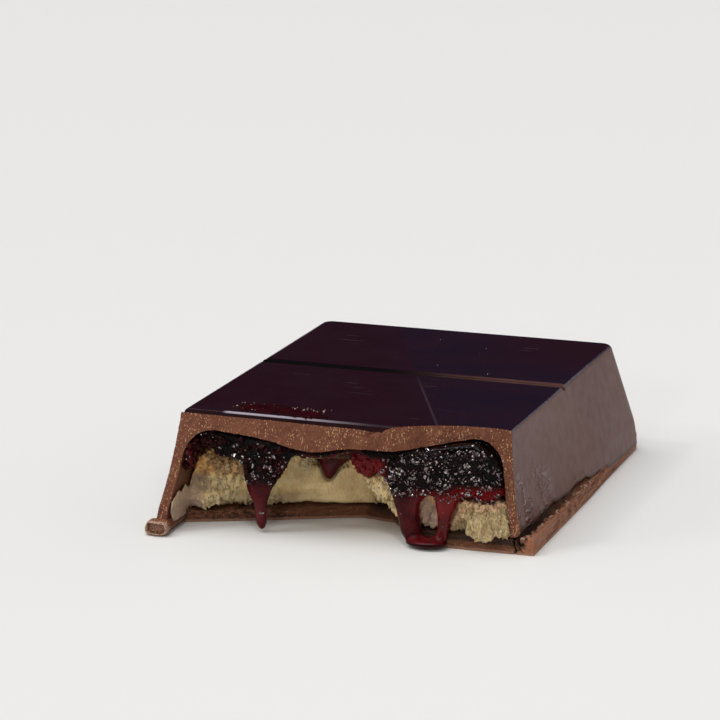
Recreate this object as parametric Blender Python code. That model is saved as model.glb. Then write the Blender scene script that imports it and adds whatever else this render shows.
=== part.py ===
"""A thick slab of filled chocolate, broken across.

A moulded chocolate shell with score lines on its top stands on a thin chocolate base. The break shows a
layer of dark jam over pale crumb filling: the jam hangs down in drips and runs to the table, and on the
left the filling and the base are broken back, so that the shell is an open roof there.
X runs across the slab, Y along it from the break to the back, and Z up from the table.
"""

import math

import bmesh
import bpy
from mathutils import Vector, noise

MM = 0.001
GAP = 0.3

# Every length below is in millimetres. Here Y is 0 near the top's back edge, and finish_mesh moves the
# origin to the middle of the footprint.
HEIGHT = 23.0
TOP_HALF_WIDTH = 32.0
SIDE_DRAFT = 0.285
FOOT_HALF_WIDTH = 37.5
TOP_BACK_Y = 1.0
BACK_DRAFT = 0.17
CORNER_RADIUS = 2.2
EDGE_RADIUS = 0.7
PINCH = 2.7
PINCH_START_Y = -12.0
PINCH_END_Y = -74.0
FAR_FRONT_Y = -104.0
WALL = 1.85
BACK_WALL = 2.4
BACK_BEND_START_Y = -20.0
CEILING_RADIUS = 5.5
HEIGHT_SLICES = 10
LENGTH_SLICES = 14
CUTTER_REACH = 3.0
BREAK_ROUGHNESS = 0.25

SCORE_Y = -37.4
SCORE_PITCH = 41.2
SCORE_HALF_WIDTH = 1.2
SCORE_DEPTH = 1.1
SCORE_CUTTER_RISE = 0.1

BASE_THICKNESS = 2.85
THIN_BASE_THICKNESS = 2.35
BASE_RIM_HEIGHT = 3.4
BASE_RIM_WIDTH = 4.5
BASE_WAVE = 0.25
BASE_COLUMNS, BASE_ROWS = 34, 14
BASE_THICKER_TO_X = 10.0
SEAT_HEIGHT = 8.0
CRACK_X = 33.6
CRACK_WIDTH = 0.5
CRACK_DEPTH = 2.0

BEAD_FRONT_RADIUS = 2.05
BEAD_BACK_RADIUS = 1.2
BEAD_FLATNESS = 0.72
BEAD_REACH = 1.3
BEAD_FRONT_Y = -88.2

CREAM_TOP_Z = 11.6
RECESS_LEFT_X = -30.5
RECESS_LEFT_Y = -75.5
RECESS_SLOPE = 0.44
CRUMBLE_DEPTH = 1.3
CRUMBLE_END_X = (-21.0, -15.0)
SMOOTH_CUT_DEPTH = 0.15
UNDERCUT_DEPTH = 1.6
UNDERCUT_TOP_Z = (4.4, 6.0)
UNDERCUT_END_X = (-12.0, -4.0)
CRUMB_SIZE = 2.6
FORWARD_CREAM_Y = -74.6
RIDGE_FOOT_X = 9.2
RIDGE_FOOT_Z = 4.0
RIDGE_LEAN = 1.07
RIDGE_SPREAD = 20.0
RIDGE_HALF_STEP = 0.9
RIDGE_ROUGHNESS = 0.9
SLICED_TOP_Y = (-66.0, -50.0)
CREAM_HALF_WIDTH = 38.0
CREAM_BACK_Y = 8.0
JAM_SETBACK = 1.2
JAM_RISE = 0.27
JAM_RISE_END_X = (4.0, 9.0)
JAM_FRONT_Z = 17.0
JAM_BACK_Z = 8.0
CREAM_FOOT_Z = 0.4
CREAM_RISE = 16.0
JAM_CUT_REACH = 20.0
SEAT_CUT_REACH = 18.0

# Outlines across the slab, as (x, height) or (x, y).
CEILING_LINE = (
    *((-31, 20.2), (-25, 19.9), (-15, 19.0), (-5.6, 17.2)),
    *((2, 18.5), (12, 18.5), (25, 20.8), (31, 21)),
)
BREAK_TOP_LINE = ((-32, -79.3), (-5, -79.1), (8, -78.4), (16.4, -74), (26, -71.8), (32, -72.3))
BREAK_FOOT_LINE = ((-37, -86.8), (0, -81.2), (38, -75.8))
BASE_FRONT_LINE = (
    *((-35, -77.6), (-19, -70.8), (-1, -62.9), (1.6, -64)),
    *((5.5, -64.4), (11, -73.6), (16, -76), (38, -75.8)),
)
CREAM_TOP_LINE = (
    *((-32, 11.2), (-27.5, 14.9), (-23.5, 12.3), (-12, 12.6), (-3, 11.4)),
    *((2, 12.8), (12, 11), (24, 9.6), (32, 9.2)),
)

# A drip's stations, from its top down, as (height, x of its middle, half width).
LONG_DRIP = (
    (18.6, -16.5, 7.5),
    (15.5, -16.2, 6.6),
    (13.5, -15.2, 4.7),
    (11.0, -15.9, 3.6),
    (8.5, -16.4, 2.5),
    (6.0, -16.2, 1.45),
    (3.8, -16.1, 1.1),
    (2.2, -16.0, 1.25),
    (0.9, -15.9, 0.75),
    (0.4, -15.9, 0.2),
)
SHORT_DRIP = (
    (15.5, -6.5, 4.4),
    (12.0, -6.2, 3.6),
    (10.4, -6.9, 2.1),
    (9.0, -7.0, 1.3),
    (8.0, -7.2, 0.8),
    (7.4, -7.2, 0.2),
)
RIDGE_DRIP = ((16.5, 3.5, 4.2), (14.0, 3.8, 3.2), (12.8, 4.0, 2.0), (12.0, 3.9, 1.0), (11.6, 3.9, 0.3))
LEFT_RUN = (
    (15.5, 12.8, 0.8),
    (13.5, 12.7, 3.6),
    (10.5, 12.6, 3.4),
    (8.0, 12.6, 2.6),
    (5.0, 13.0, 2.1),
    (2.5, 13.6, 2.3),
    (0.9, 14.4, 2.0),
    (0.4, 14.4, 1.0),
)
RIGHT_RUN = (
    (14.0, 20.6, 0.6),
    (12.0, 20.5, 2.8),
    (9.0, 20.4, 2.3),
    (6.5, 20.2, 1.5),
    (4.0, 20.0, 1.25),
    (2.0, 19.6, 1.6),
    (0.5, 19.0, 1.2),
)

# Each run's stations, the y of its middle and its greatest half depth.
JAM_RUNS = (
    (LONG_DRIP, -78.6, 1.7),
    (SHORT_DRIP, -64.8, 1.5),
    (RIDGE_DRIP, -73.6, 1.8),
    (LEFT_RUN, -76.1, 2.1),
    (RIGHT_RUN, -76.3, 1.6),
)

# Rounded lumps, as (x, y, z of the middle) and (x, y, z half sizes): the mass on the right, the pool under it
# and the jam that clings to the left wall.
JAM_LUMPS = (
    ((14.3, -75.6, 14.0), (7.0, 2.5, 5.0)),
    ((22.6, -74.6, 15.2), (8.4, 2.5, 5.9)),
    ((27.5, -74.2, 13.4), (4.4, 2.2, 4.6)),
    ((16.9, -77.5, 1.15), (4.4, 2.9, 0.95)),
    ((-30.6, -78.6, 15.6), (2.0, 3.2, 4.2)),
)
CREAM_LUMPS = (
    ((27.4, -75.5, 5.0), (3.4, 2.0, 4.5)),
    ((25.4, -74.9, 7.2), (3.0, 1.9, 2.6)),
    ((30.8, -74.7, 4.8), (2.6, 1.9, 2.6)),
    ((-30.7, -79.4, 4.5), (1.9, 5.6, 3.6)),
    ((-28.3, -75.2, 5.0), (2.3, 1.8, 2.9)),
)

SHELL_BROWN = (0.09, 0.035, 0.018)
BASE_BROWN = (0.11, 0.045, 0.024)
JAM_RED = (0.05, 0.002, 0.006)
CREAM_YELLOW = (0.72, 0.58, 0.32)


def smooth_step(start, end, value):
    share = min(max((value - start) / (end - start), 0.0), 1.0)
    return share * share * (3 - 2 * share)


def along(line, x):
    """The smooth curve through a line's points, read at x."""
    if x <= line[0][0]:
        return line[0][1]
    for i in range(len(line) - 1):
        (x0, y0), (x1, y1) = line[i], line[i + 1]
        if x <= x1:
            before, after = line[max(i - 1, 0)], line[min(i + 2, len(line) - 1)]
            slope0 = (y1 - before[1]) / (x1 - before[0])
            slope1 = (after[1] - y0) / (after[0] - x0)
            span, share = x1 - x0, (x - x0) / (x1 - x0)
            left = (1 + 2 * share) * (1 - share) ** 2 * y0 + share * (1 - share) ** 2 * span * slope0
            right = share * share * (3 - 2 * share) * y1 + share * share * (share - 1) * span * slope1
            return left + right
    return line[-1][1]


def bumps(x, y, z, size):
    """Even lumps of about this size, between -1 and 1."""
    return noise.noise(Vector((x, y, z)) / size)


def half_width(y, z):
    """From the middle to the outer face of a side wall, which bends in towards the break."""
    drafted = min(TOP_HALF_WIDTH + SIDE_DRAFT * (HEIGHT - z), FOOT_HALF_WIDTH)
    bend = PINCH * (1 - (z / HEIGHT) ** 2) * smooth_step(PINCH_START_Y, PINCH_END_Y, y)
    return drafted - bend


def back_y(z):
    return TOP_BACK_Y + BACK_DRAFT * (HEIGHT - z)


def break_y(x, z):
    """The broken face leans: its foot reaches further forward than its top."""
    share = z / HEIGHT
    return along(BREAK_TOP_LINE, x) * share + along(BREAK_FOOT_LINE, x) * (1 - share)


def ceiling_z(x):
    """The roof's wavy underside, rounded down to the side walls."""
    flat_half = TOP_HALF_WIDTH - WALL - CEILING_RADIUS
    past = min(max((abs(x) - flat_half) / CEILING_RADIUS, 0.0), 1.0)
    return along(CEILING_LINE, x) - CEILING_RADIUS * (1 - math.sqrt(1 - past * past))


def recess_y(x):
    return RECESS_LEFT_Y + RECESS_SLOPE * (x - RECESS_LEFT_X)


def cream_front_y(x, z):
    """The filling's face: cut back on the left, and a ragged ridge further forward from the middle."""
    recessed = recess_y(x)
    crumbly = CRUMBLE_DEPTH * (1 - smooth_step(*CRUMBLE_END_X, x))
    undercut = UNDERCUT_DEPTH * (1 - smooth_step(*UNDERCUT_TOP_Z, z)) * (1 - smooth_step(*UNDERCUT_END_X, x))
    recessed += undercut + (crumbly + SMOOTH_CUT_DEPTH) * bumps(x, 0, z, CRUMB_SIZE)
    forward = FORWARD_CREAM_Y + RIDGE_ROUGHNESS * bumps(x, 5, z, 2.4)
    ridge_x = RIDGE_FOOT_X - RIDGE_LEAN * (z - RIDGE_FOOT_Z)
    share = smooth_step(ridge_x - RIDGE_HALF_STEP, ridge_x + RIDGE_HALF_STEP, x)
    return recessed * (1 - share) + forward * share


def cream_top_z(x, y):
    shown = along(CREAM_TOP_LINE, x)
    deep = smooth_step(*SLICED_TOP_Y, y)
    return shown * (1 - deep) + CREAM_TOP_Z * deep + 0.4 * bumps(x, y, 0, 5)


def base_top_z(x, y):
    """The base is a little thicker at its rim, outside the filling."""
    from_rim = min(FOOT_HALF_WIDTH - x, back_y(0) - y)
    rim = 1 - smooth_step(BASE_RIM_WIDTH - 2, BASE_RIM_WIDTH, from_rim)
    thickness = THIN_BASE_THICKNESS + (BASE_THICKNESS - THIN_BASE_THICKNESS) * smooth_step(0, BASE_THICKER_TO_X, x)
    return thickness + (BASE_RIM_HEIGHT - thickness) * rim + BASE_WAVE * bumps(x, y, 3, 4)


# The origin is in the middle of the footprint, which the bead's end and the base's back edge bound.
MIDDLE_Y = (BEAD_FRONT_Y + back_y(0)) / 2


def new_collection(name):
    collection = bpy.data.collections.new(name)
    bpy.context.scene.collection.children.link(collection)
    return collection


def finish_mesh(name, mesh, collection):
    """An object of this mesh, which is in millimetres, moved to the origin."""
    bmesh.ops.recalc_face_normals(mesh, faces=mesh.faces)
    if mesh.calc_volume(signed=True) < 0:
        bmesh.ops.reverse_faces(mesh, faces=mesh.faces)
    bmesh.ops.translate(mesh, vec=(0, -MIDDLE_Y, 0), verts=mesh.verts)
    bmesh.ops.scale(mesh, vec=(MM, MM, MM), verts=mesh.verts)
    data = bpy.data.meshes.new(name)
    mesh.to_mesh(data)
    mesh.free()
    shape = bpy.data.objects.new(name, data)
    collection.objects.link(shape)
    return shape


def slice_along(mesh, axis, low, high, cuts):
    """Evenly spaced edge loops across one axis."""
    for i in range(1, cuts):
        point, normal = Vector(), Vector()
        point[axis] = low + (high - low) * i / cuts
        normal[axis] = 1
        geom = mesh.verts[:] + mesh.edges[:] + mesh.faces[:]
        bmesh.ops.bisect_plane(mesh, geom=geom, plane_co=point, plane_no=normal)


def sheet_solid(name, collection, columns, rows, place, bend=None):
    """A closed sheet: place(s, t, side) puts a point of its lower (0) or upper (1) face, s and t from 0 to 1.

    With bend, its walls are then sliced in height and each point is moved by bend(x, y, z)."""
    mesh = bmesh.new()
    bmesh.ops.create_grid(mesh, x_segments=columns, y_segments=rows, size=0.5)
    lower = mesh.verts[:]
    grown = bmesh.ops.extrude_face_region(mesh, geom=mesh.faces[:], use_keep_orig=True)
    upper = [item for item in grown["geom"] if isinstance(item, bmesh.types.BMVert)]
    for side, verts in ((0, lower), (1, upper)):
        for vert in verts:
            vert.co = place(vert.co.x + 0.5, vert.co.y + 0.5, side)
    bmesh.ops.triangulate(mesh, faces=mesh.faces, quad_method="FIXED")
    if bend:
        slice_along(mesh, 2, 0, HEIGHT, HEIGHT_SLICES)
        for vert in mesh.verts:
            vert.co = bend(*vert.co)
    return finish_mesh(name, mesh, collection)


def rounded_box(name, collection, low, high, corner, edge, place):
    """A box with rounded upright corners and top edges, sliced so that place can bend its walls."""
    mesh = bmesh.new()
    bmesh.ops.create_cube(mesh, size=1)
    for vert in mesh.verts:
        vert.co = [low[i] + (vert.co[i] + 0.5) * (high[i] - low[i]) for i in range(3)]
    upright = [e for e in mesh.edges if abs(e.verts[0].co.z - e.verts[1].co.z) > 1]
    bmesh.ops.bevel(mesh, geom=upright, offset=corner, segments=4, profile=0.5, affect="EDGES")
    if edge:
        rim = [e for e in mesh.edges if min(v.co.z for v in e.verts) > high[2] - 1e-3]
        bmesh.ops.bevel(mesh, geom=rim, offset=edge, segments=3, profile=0.5, affect="EDGES")
    for axis, cuts in ((2, HEIGHT_SLICES), (1, LENGTH_SLICES)):
        slice_along(mesh, axis, low[axis], high[axis], cuts)
    for vert in mesh.verts:
        vert.co = place(*vert.co)
    return finish_mesh(name, mesh, collection)


def column_solid(name, collection, stations, y, depth):
    """A hanging run of jam: a round column, wide and flat at the top, that narrows to its tip."""
    mesh = bmesh.new()
    top, bottom = stations[0][0], stations[-1][0]
    bmesh.ops.create_cone(mesh, cap_ends=True, segments=14, radius1=1, radius2=1, depth=top - bottom)
    bmesh.ops.translate(mesh, vec=(0, 0, (top + bottom) / 2), verts=mesh.verts)
    for height, _, _ in stations[1:-1]:
        geom = mesh.verts[:] + mesh.edges[:] + mesh.faces[:]
        bmesh.ops.bisect_plane(mesh, geom=geom, plane_co=(0, 0, height), plane_no=(0, 0, 1))
    for vert in mesh.verts:
        _, middle, half = min(stations, key=lambda station: abs(station[0] - vert.co.z))
        vert.co.x = middle + half * vert.co.x
        vert.co.y = y + min(half, depth) * vert.co.y
    return finish_mesh(name, mesh, collection)


def lump_solid(name, collection, middle, halves):
    mesh = bmesh.new()
    bmesh.ops.create_icosphere(mesh, subdivisions=3, radius=1)
    for vert in mesh.verts:
        rough = 1 + 0.08 * bumps(*(vert.co + Vector(middle)), 0.7)
        vert.co = [middle[i] + vert.co[i] * halves[i] * rough for i in range(3)]
    return finish_mesh(name, mesh, collection)


def boolean(shape, operand, operation):
    """Cuts, joins or crosses a shape with an object, or joins it with a whole collection."""
    modifier = shape.modifiers.new(operand.name, "BOOLEAN")
    modifier.operation = operation
    modifier.solver = "EXACT"
    if isinstance(operand, bpy.types.Collection):
        modifier.operand_type = "COLLECTION"
        modifier.collection = operand
    else:
        modifier.object = operand
    return modifier


def join_all(shape, pieces):
    """One Boolean union of the shape with a collection of pieces, which then go."""
    modifier = boolean(shape, pieces, "UNION")
    bpy.context.view_layer.objects.active = shape
    bpy.ops.object.modifier_apply(modifier=modifier.name)
    for piece in pieces.objects[:]:
        bpy.data.objects.remove(piece)
    bpy.data.collections.remove(pieces)
    return shape


def material(name, colour, roughness):
    made = bpy.data.materials.new(name)
    made.use_nodes = True
    shader = made.node_tree.nodes["Principled BSDF"]
    shader.inputs["Base Color"].default_value = (*colour, 1)
    shader.inputs["Roughness"].default_value = roughness
    shader.inputs["Metallic"].default_value = 0
    made.diffuse_color = (*colour, 1)
    return made


def room_solid(name, collection, inset):
    """The room inside the shell, open below and in front, smaller all round by the inset."""
    straight_half = TOP_HALF_WIDTH - WALL - inset

    def place(s, t, side):
        across = math.sin(math.pi * (s - 0.5))
        x = across * straight_half
        z = ceiling_z(across * (TOP_HALF_WIDTH - WALL)) - inset if side else -CUTTER_REACH
        return x, FAR_FRONT_Y * (1 - t), z

    def bend(x, y, z):
        height = max(z, 0)
        reach = smooth_step(BACK_BEND_START_Y, 0, y)
        inner_half = half_width(y, height) - WALL - inset
        return x / straight_half * inner_half, y + (back_y(height) - BACK_WALL - inset) * reach, z

    return sheet_solid(name, collection, 36, 12, place, bend)


def front_cutter(cutters):
    """Everything in front of the broken face."""

    def place(s, t, side):
        x, z = -45 + 90 * s, -CUTTER_REACH + (HEIGHT + 2 * CUTTER_REACH) * t
        if not side:
            return x, FAR_FRONT_Y - 10, z
        return x, break_y(x, min(max(z, 0), HEIGHT)) + BREAK_ROUGHNESS * bumps(x, 1, z, 3), z

    return sheet_solid("cut_break", cutters, 36, 12, place)


def score_cutter(name, cutters, y):
    """A V across the top, open at both side edges. The cutter is widest a little above the top."""
    grown = 1 + SCORE_CUTTER_RISE / SCORE_DEPTH
    mesh = bmesh.new()
    bmesh.ops.create_cone(mesh, cap_ends=True, segments=4, radius1=1, radius2=1, depth=90)
    for vert in mesh.verts:
        side, up, reach = vert.co.x, vert.co.y, vert.co.z
        z = HEIGHT + SCORE_CUTTER_RISE + up * SCORE_DEPTH * grown
        vert.co = reach, y + side * SCORE_HALF_WIDTH * grown, z
    return finish_mesh(name, mesh, cutters)


def base_solid(name, collection, grow, reach=0):
    """The base plate out to its rim. A grown copy, which may reach further forward, cuts its seat."""
    rows = BASE_ROWS + bool(reach)

    def place(s, t, side):
        far_left, right = BASE_FRONT_LINE[0][0], FOOT_HALF_WIDTH + CUTTER_REACH
        row = round(t * rows) - bool(reach)
        front = along(BASE_FRONT_LINE, far_left + (right - far_left) * s) - grow
        y = front + (back_y(0) + CUTTER_REACH - front) * max(row, 0) / BASE_ROWS
        left = -(half_width(y, 1.5) - WALL - GAP) - grow
        x = left + (right - left) * s
        z = base_top_z(x, y) + grow if side else -4 * grow
        return x, y - reach * (row < 0), z

    return sheet_solid(name, collection, BASE_COLUMNS, rows, place)


def footprint(name, collection, grow):
    """The slab's outline on the table, as a block that trims the base."""
    low = (-FOOT_HALF_WIDTH - 4, FAR_FRONT_Y, -CUTTER_REACH)
    high = (FOOT_HALF_WIDTH + grow, back_y(0) + grow, SEAT_HEIGHT)
    return rounded_box(name, collection, low, high, CORNER_RADIUS, 0, lambda x, y, z: (x, y, z))


def left_bead(collection):
    """The rolled lip along the left foot, thickest at the break."""
    curve = bpy.data.curves.new("bead", "CURVE")
    curve.dimensions = "3D"
    curve.bevel_depth = MM
    curve.bevel_resolution = 2
    curve.use_fill_caps = True
    spline = curve.splines.new("POLY")
    steps = 12
    spline.points.add(steps)
    for i, point in enumerate(spline.points):
        y = BEAD_FRONT_Y + (back_y(0) - CORNER_RADIUS - BEAD_FRONT_Y) * i / steps
        front = 1 - smooth_step(BEAD_FRONT_Y, PINCH_START_Y, y)
        radius = BEAD_BACK_RADIUS + (BEAD_FRONT_RADIUS - BEAD_BACK_RADIUS) * front
        x = -(half_width(y, 0) - radius + BEAD_REACH * front)
        point.co = (x * MM, y * MM, radius * MM, 1)
        point.radius = radius
    guide = bpy.data.objects.new("bead_guide", curve)
    collection.objects.link(guide)
    graph = bpy.context.evaluated_depsgraph_get()
    data = bpy.data.meshes.new_from_object(guide.evaluated_get(graph))
    bpy.data.objects.remove(guide)
    mesh = bmesh.new()
    mesh.from_mesh(data)
    bmesh.ops.remove_doubles(mesh, verts=mesh.verts, dist=1e-6)
    for vert in mesh.verts:
        vert.co = vert.co.x / MM, vert.co.y / MM, vert.co.z * BEAD_FLATNESS / MM
    return finish_mesh("bead", mesh, collection)


def chocolate_shell(parts, cutters):
    low, high = (-TOP_HALF_WIDTH, FAR_FRONT_Y, 0), (TOP_HALF_WIDTH, 0, HEIGHT)

    def place(x, y, z):
        reach = smooth_step(BACK_BEND_START_Y, 0, y)
        return x / TOP_HALF_WIDTH * half_width(y, z), y + back_y(z) * reach, z

    shell = rounded_box("chocolate_shell", parts, low, high, CORNER_RADIUS, EDGE_RADIUS, place)
    boolean(shell, room_solid("cut_room", cutters, 0), "DIFFERENCE")
    boolean(shell, base_seat_cutter("cut_shell_seat", cutters, SEAT_CUT_REACH), "DIFFERENCE")
    boolean(shell, front_cutter(cutters), "DIFFERENCE")
    for i in range(2):
        y = SCORE_Y - SCORE_PITCH * i
        boolean(shell, score_cutter(f"cut_score_{i}", cutters, y), "DIFFERENCE")
    bpy.context.view_layer.objects.active = shell
    for modifier in shell.modifiers[:]:
        bpy.ops.object.modifier_apply(modifier=modifier.name)
    pieces = new_collection("shell_pieces")
    boolean(left_bead(pieces), base_solid("cut_bead", cutters, 1.5 * GAP), "DIFFERENCE")
    join_all(shell, pieces)
    shell.data.materials.append(material("milk chocolate", SHELL_BROWN, 0.3))


def chocolate_base(parts, cutters):
    base = base_solid("chocolate_base", parts, 0)
    boolean(base, footprint("trim_base", cutters, 0), "INTERSECT")
    low = (CRACK_X, -80, -1)
    high = (CRACK_X + CRACK_WIDTH, along(BASE_FRONT_LINE, CRACK_X) + CRACK_DEPTH, SEAT_HEIGHT)

    def waver(x, y, z):
        return x + CRACK_WIDTH / 2 * math.sin(2 * z), y, z

    crack = rounded_box("cut_crack", cutters, low, high, CRACK_WIDTH / 5, 0, waver)
    boolean(base, crack, "DIFFERENCE")
    base.data.materials.append(material("base chocolate", BASE_BROWN, 0.5))


def base_seat_cutter(name, cutters, reach=0):
    seat = base_solid(name, cutters, GAP, reach)
    boolean(seat, footprint("trim_" + name, cutters, 2), "INTERSECT")
    return seat


def flat_faces_joined(shape):
    """Faces in one plane become one face."""
    modifier = shape.modifiers.new("flat faces", "DECIMATE")
    modifier.decimate_type = "DISSOLVE"
    modifier.angle_limit = math.radians(0.5)


def jam_solid(name, collection, grow, reach=0):
    """The jam layer with its drips and the mass that runs to the table. A grown copy trims the filling."""

    def place(s, t, side):
        x = (s - 0.5) * 2 * (FOOT_HALF_WIDTH + 1)
        front = break_y(x, JAM_FRONT_Z) + JAM_SETBACK
        y = front + (back_y(JAM_BACK_Z) - front) * t
        rise = JAM_RISE * max(recess_y(x) - y, 0) * (1 - smooth_step(*JAM_RISE_END_X, x))
        z = HEIGHT if side else cream_top_z(x, y) + GAP - grow + rise
        return x, y - reach * (t == 0), z

    jam = sheet_solid(name, collection, 40, 10, place)
    pieces = new_collection(name + "_pieces")
    for i, (stations, y, depth) in enumerate(JAM_RUNS):
        wider = [(z, x, half + grow) for z, x, half in stations]
        column_solid(f"{name}_run_{i}", pieces, wider, y, depth + grow)
    for i, (middle, halves) in enumerate(JAM_LUMPS):
        lump_solid(f"{name}_lump_{i}", pieces, middle, [half + grow for half in halves])
    return join_all(jam, pieces)


def jam_filling(parts, room, base_seat):
    jam = jam_solid("jam", parts, 0)
    boolean(jam, room, "INTERSECT")
    boolean(jam, base_seat, "DIFFERENCE")
    jam.data.materials.append(material("dark jam", JAM_RED, 0.1))


def crumb_filling(parts, cutters, room, base_seat):
    """The pale filling under the jam. The columns of its face lean with the ridge, so its edge is even."""

    def place(s, t, side):
        z = CREAM_FOOT_Z + CREAM_RISE * t
        straight_x = CREAM_HALF_WIDTH * (2 * s - 1)
        near_ridge = max(1 - abs(straight_x - RIDGE_FOOT_X) / RIDGE_SPREAD, 0)
        x = straight_x - RIDGE_LEAN * (z - RIDGE_FOOT_Z) * near_ridge
        return x, (cream_front_y(x, z) if side else CREAM_BACK_Y), z

    cream = sheet_solid("cream", parts, 50, 12, place)
    lumps = new_collection("cream_lumps")
    for i, (middle, halves) in enumerate(CREAM_LUMPS):
        lump_solid(f"cream_lump_{i}", lumps, middle, halves)
    join_all(cream, lumps)
    boolean(cream, room, "INTERSECT")
    boolean(cream, base_seat, "DIFFERENCE")
    boolean(cream, jam_solid("cut_jam", cutters, 1.4 * GAP, JAM_CUT_REACH), "DIFFERENCE")
    cream.data.materials.append(material("pale crumb", CREAM_YELLOW, 0.7))


def build():
    for old in bpy.data.objects[:]:
        bpy.data.objects.remove(old)
    parts, cutters = new_collection("crumble_bar"), new_collection("cutters")
    chocolate_shell(parts, cutters)
    chocolate_base(parts, cutters)
    base_seat = base_seat_cutter("cut_seat", cutters)
    room = room_solid("room", cutters, GAP)
    jam_filling(parts, room, base_seat)
    crumb_filling(parts, cutters, room, base_seat)
    for shape in parts.objects:
        flat_faces_joined(shape)
    for cutter in cutters.objects:
        cutter.hide_render = True
        cutter.display_type = "WIRE"


build()
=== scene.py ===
import math
import random

import bpy
import numpy as np
from mathutils import Euler, Matrix, Vector, noise
from mathutils.bvhtree import BVHTree


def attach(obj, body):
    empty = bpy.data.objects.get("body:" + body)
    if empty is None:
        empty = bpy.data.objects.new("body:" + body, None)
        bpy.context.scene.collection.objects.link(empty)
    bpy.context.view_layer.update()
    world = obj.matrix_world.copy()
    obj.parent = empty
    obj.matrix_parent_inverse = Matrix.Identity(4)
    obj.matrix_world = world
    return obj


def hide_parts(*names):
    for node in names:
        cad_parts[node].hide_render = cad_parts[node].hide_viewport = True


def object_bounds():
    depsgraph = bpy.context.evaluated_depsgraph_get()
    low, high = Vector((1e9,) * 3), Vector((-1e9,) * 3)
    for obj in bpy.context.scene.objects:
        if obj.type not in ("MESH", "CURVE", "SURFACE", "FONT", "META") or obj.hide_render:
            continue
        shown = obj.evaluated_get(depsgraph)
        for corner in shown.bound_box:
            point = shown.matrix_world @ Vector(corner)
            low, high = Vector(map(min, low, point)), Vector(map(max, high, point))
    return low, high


MM = 0.001

# The CAD solids' measures, in millimetres.
TOP_Z = 23.0
TOP_HALF_WIDTH = 32
FOOT_HALF_WIDTH = 37.5
SIDE_DRAFT = 0.285
PINCH = 2.7
PINCH_START_Y = 29.6
PINCH_END_Y = -32.4
WALL = 1.85
GROOVE_Y = 4.245
FRONT_GROOVE_Y = -36.955
GROOVE_HALF_WIDTH = 1.2
GROOVE_DEPTH = 1.1
GROOVE_LIP_Y = FRONT_GROOVE_Y + GROOVE_HALF_WIDTH

# Further shaping, in millimetres.
IN_GROOVE_Z = 21.8
FAR_WALL_LEAN = 0.65
SKIRT_DROP = 1.7
BACK_SKIRT_DROP = 0.5
BREAK_DEPTH = 0.02
HIDDEN_Y = -18
HIDDEN_SHARE = 0.06
LIP_BACK_Y = -44.4
LIP_MIDDLE = (-34.1, -45.1, 1.55)
LIP_SIZE = (2.35, 1.7, 1.5)
TOP_FILM = 0.2
SMEAR_START = (-23.0, -31.2)
SMEAR_LENGTH = 19.5
SMEAR_HALF_WIDTH = 3.8
SMEAR_SLANT = 1.6

# Colours, light and the camera.
MOIST_CRUMB = (0.37, 0.245, 0.108)
SOFTBOX_STRENGTH = 1.45
LAMP_STRENGTH = 0.25
CAMERA_PLACE = (0.18561, -0.549685, 0.17135)
CAMERA_AZIMUTH, CAMERA_ELEVATION = 19.5, 14

for left_over in ("Cube", "Light", "Camera"):
    if left_over in bpy.data.objects:
        bpy.data.objects.remove(bpy.data.objects[left_over])

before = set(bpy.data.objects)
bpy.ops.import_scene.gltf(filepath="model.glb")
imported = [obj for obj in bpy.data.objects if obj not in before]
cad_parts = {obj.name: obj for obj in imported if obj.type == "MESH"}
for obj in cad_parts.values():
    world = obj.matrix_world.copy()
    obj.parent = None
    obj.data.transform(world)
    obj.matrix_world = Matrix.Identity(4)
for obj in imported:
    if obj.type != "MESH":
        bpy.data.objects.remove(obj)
cad_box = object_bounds()


# --- tools for shaping pieces; lengths are in millimetres ---


def only(*pieces):
    """Selects these pieces and nothing else."""
    if bpy.context.mode != "OBJECT":
        bpy.ops.object.mode_set(mode="OBJECT")
    bpy.ops.object.select_all(action="DESELECT")
    for piece in pieces:
        piece.select_set(True)
    bpy.context.view_layer.objects.active = pieces[0]


def step(start, end, value):
    """0 at the start and 1 at the end, softly between; the end may be the lower."""
    share = np.clip((value - start) / (end - start), 0, 1)
    return share * share * (3 - 2 * share)


def rows_of(items, what):
    """This vector of every corner or face, as rows."""
    flat = np.empty(len(items) * 3, np.float32)
    items.foreach_get(what, flat)
    return flat.reshape(-1, 3).astype(float)


def corners_of(piece):
    return rows_of(piece.data.vertices, "co") / MM


def move_corners(piece, corners):
    piece.data.vertices.foreach_set("co", (corners * MM).astype(np.float32).ravel())
    piece.data.update()


def normals_of(piece):
    return rows_of(piece.data.vertices, "normal")


def face_places(piece):
    """(middles, normals) of the faces."""
    faces = piece.data.polygons
    return rows_of(faces, "center") / MM, rows_of(faces, "normal")


def edge_pairs(piece):
    """The two corners that each edge joins."""
    pairs = np.empty(len(piece.data.edges) * 2, np.int32)
    piece.data.edges.foreach_get("vertices", pairs)
    return pairs.reshape(-1, 2)


def pick(piece, faces=None, edges=None):
    """Selects some faces or edges, by a true or false for each, and goes to edit mode."""
    only(piece)
    data = piece.data
    for items, chosen in ((data.vertices, None), (data.edges, edges), (data.polygons, faces)):
        items.foreach_set("select", chosen if chosen is not None else np.zeros(len(items), bool))
    bpy.context.tool_settings.mesh_select_mode = (False, edges is not None, edges is None)
    bpy.ops.object.mode_set(mode="EDIT")
    bpy.ops.mesh.select_mode(type="EDGE" if edges is not None else "FACE")


def into_scene(name, data):
    """A new object that holds this data."""
    item = bpy.data.objects.new(name, data)
    bpy.context.scene.collection.objects.link(item)
    return item


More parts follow.
